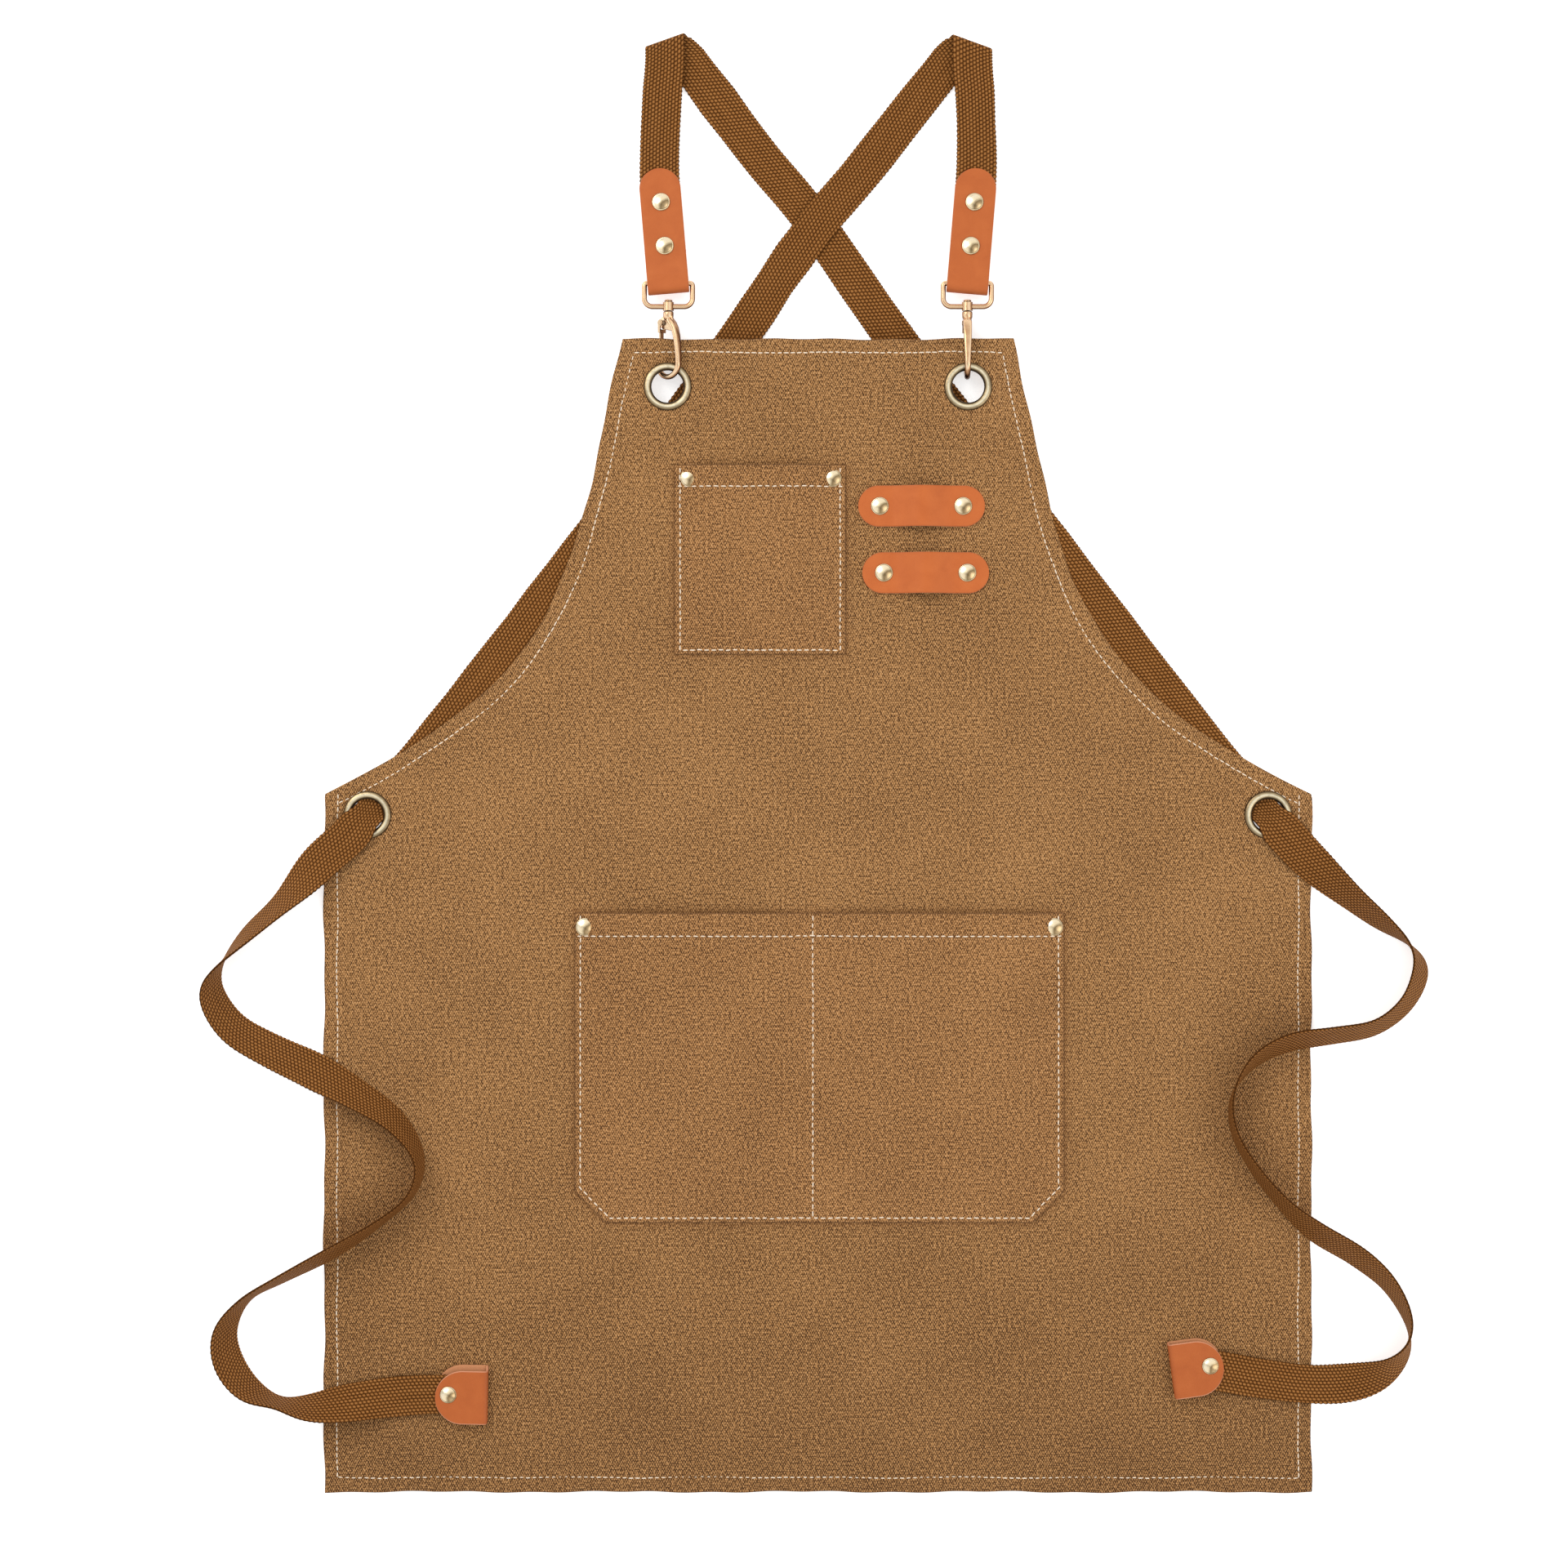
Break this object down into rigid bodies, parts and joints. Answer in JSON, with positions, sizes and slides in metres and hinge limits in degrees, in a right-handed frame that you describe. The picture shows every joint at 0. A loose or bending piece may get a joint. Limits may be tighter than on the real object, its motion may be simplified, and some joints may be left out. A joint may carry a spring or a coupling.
{
  "type": "cross-back work apron",
  "caption": "Canvas bib apron with crossed webbing straps on swivel clips, eyelets, a chest pocket, a divided waist pocket and leather tool loops.",
  "frame": {"origin": "centre of the bounding box at the table, measured without the free straps and what hangs on their ends", "axes": "+Y up the apron from the hem to the top of the bib, +X to the right as seen from the front, +Z out of the front, away from the table"},
  "size_m": [0.7459, 0.8867, 0.028],
  "materials": {
    "canvas": "plain weave cotton canvas, khaki brown",
    "pocket_canvas": "plain weave cotton canvas, khaki brown",
    "thread": "cream sewing thread",
    "eyelet_brass": "antique, half polished",
    "rivet_gold": "polished light gold",
    "webbing": "coarse basket weave, dark brown",
    "leather": "smooth vegetable tanned, cognac",
    "rose_metal": "polished rose gold",
    "pin_brass": "polished",
    "spring_steel": "plain"
  },
  "bodies": {
    "apron": {"apron_panel": "canvas", "bib_pocket": "pocket_canvas", "waist_pocket": "pocket_canvas", "hem_thread": "thread", "bib_pocket_thread": "thread", "waist_pocket_thread": "thread", "bib_eyelet_left": "eyelet_brass", "bib_eyelet_right": "eyelet_brass", "waist_eyelet_left": "eyelet_brass", "waist_eyelet_right": "eyelet_brass", "bib_washer_left": "eyelet_brass", "bib_washer_right": "eyelet_brass", "waist_washer_left": "eyelet_brass", "waist_washer_right": "eyelet_brass", "bib_pocket_rivet_caps": "rivet_gold", "bib_pocket_rivet_backs": "rivet_gold", "waist_pocket_rivet_caps": "rivet_gold", "waist_pocket_rivet_backs": "rivet_gold", "upper_tool_loop": "leather", "lower_tool_loop": "leather", "upper_loop_rivet_caps": "rivet_gold", "upper_loop_rivet_backs": "rivet_gold", "lower_loop_rivet_caps": "rivet_gold", "lower_loop_rivet_backs": "rivet_gold", "left_strap": "webbing", "right_strap": "webbing", "left_strap_tab": "leather", "right_strap_tab": "leather", "left_tab_rivet_caps": "rivet_gold", "left_tab_rivet_backs": "rivet_gold", "right_tab_rivet_caps": "rivet_gold", "right_tab_rivet_backs": "rivet_gold", "left_end_tab": "leather", "right_end_tab": "leather", "left_end_rivet": "rivet_gold", "right_end_rivet": "rivet_gold", "left_end_rivet_back": "rivet_gold", "right_end_rivet_back": "rivet_gold"},
    "left_d_loop": {"left_loop": "rose_metal"},
    "right_d_loop": {"right_loop": "rose_metal"},
    "left_clip": {"left_hook": "rose_metal", "left_gate_pin": "pin_brass", "left_gate_spring": "spring_steel"},
    "right_clip": {"right_hook": "rose_metal", "right_gate_pin": "pin_brass", "right_gate_spring": "spring_steel"},
    "left_clip_gate": {"left_gate": "rose_metal"},
    "right_clip_gate": {"right_gate": "rose_metal"}
  },
  "joints": [
    {"name": "left_loop_swing", "type": "hinge", "parent": "apron", "child": "left_d_loop", "pos_m": [-0.0905, 0.3315, 0.0098], "axis": [1, 0, 0], "range_deg": [-0.3, 0.3]},
    {"name": "right_loop_swing", "type": "hinge", "parent": "apron", "child": "right_d_loop", "pos_m": [0.0905, 0.3315, 0.0098], "axis": [1, 0, 0], "range_deg": [-0.3, 0.3]},
    {"name": "left_hook_swivel", "type": "hinge", "parent": "left_d_loop", "child": "left_clip", "pos_m": [-0.0905, 0.3174, 0.0098], "axis": [0, 1, 0], "range_deg": [-95, 0]},
    {"name": "right_hook_swivel", "type": "hinge", "parent": "right_d_loop", "child": "right_clip", "pos_m": [0.0905, 0.3174, 0.0098], "axis": [0, 1, 0], "range_deg": [-45, 45]},
    {"name": "left_gate_open", "type": "hinge", "parent": "left_clip", "child": "left_clip_gate", "pos_m": [-0.09395, 0.3079, 0.00691], "axis": [-0.6428, 0, 0.766], "range_deg": [0, 1.2], "stiffness_Nm_per_rad": 0.02, "springref_deg": -17.19},
    {"name": "right_gate_open", "type": "hinge", "parent": "right_clip", "child": "right_clip_gate", "pos_m": [0.0905, 0.3079, 0.0053], "axis": [-1, 0, 0], "range_deg": [0, 2], "stiffness_Nm_per_rad": 0.02, "springref_deg": -17.19}
  ]
}
